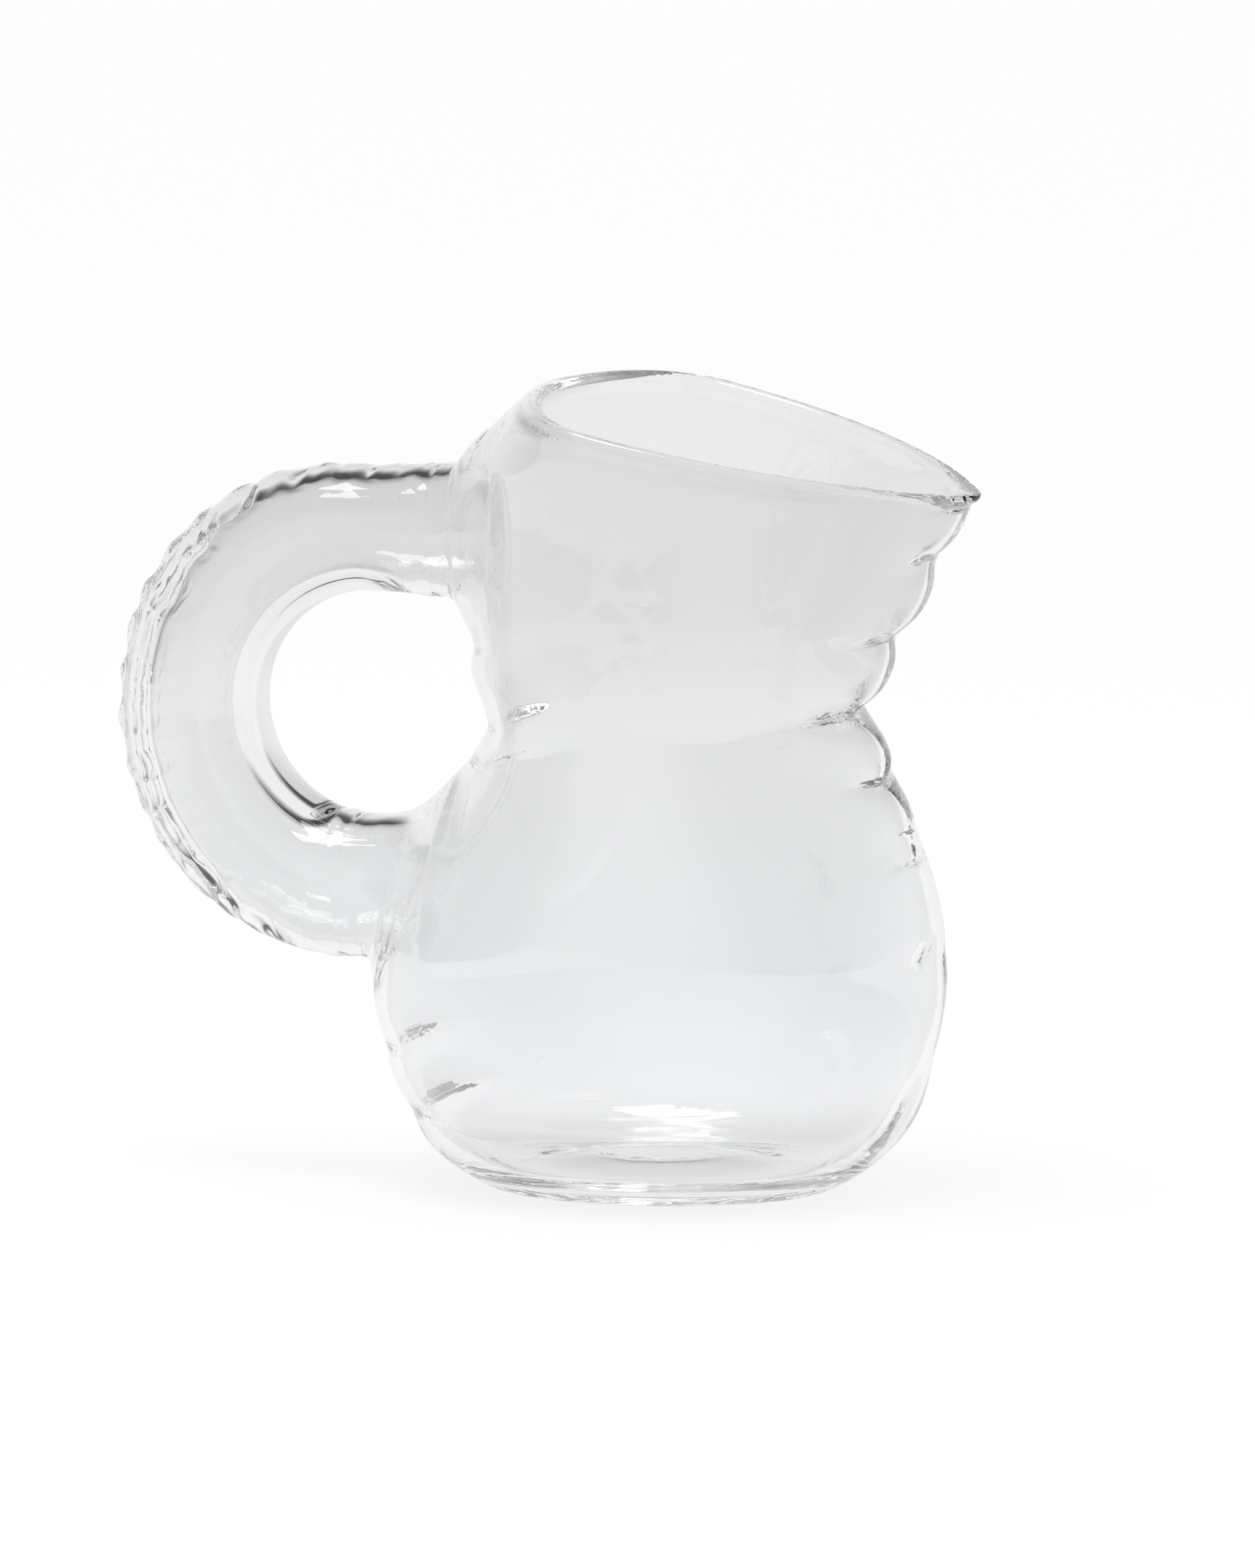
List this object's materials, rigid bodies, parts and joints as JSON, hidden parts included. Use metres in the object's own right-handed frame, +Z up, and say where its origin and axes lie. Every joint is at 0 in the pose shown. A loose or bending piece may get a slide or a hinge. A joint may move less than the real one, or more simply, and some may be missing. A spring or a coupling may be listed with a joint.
{
  "type": "glass pitcher",
  "caption": "Clear blown glass pitcher with a slanted mouth, a pointed pouring lip, puckered side seams and a fat hollow ring handle.",
  "frame": {"origin": "on the table, under the middle of the overall box", "axes": "+X from the handle towards the pouring lip, +Y across the seam plane, +Z up"},
  "size_m": [0.2187, 0.1204, 0.1937],
  "materials": {
    "clear_glass": "polished"
  },
  "bodies": {
    "root": {"vessel_wall": "clear_glass", "base_disc": "clear_glass", "rim_bead": "clear_glass", "handle_tube": "clear_glass", "upper_weld": "clear_glass", "lower_weld": "clear_glass"}
  },
  "joints": []
}
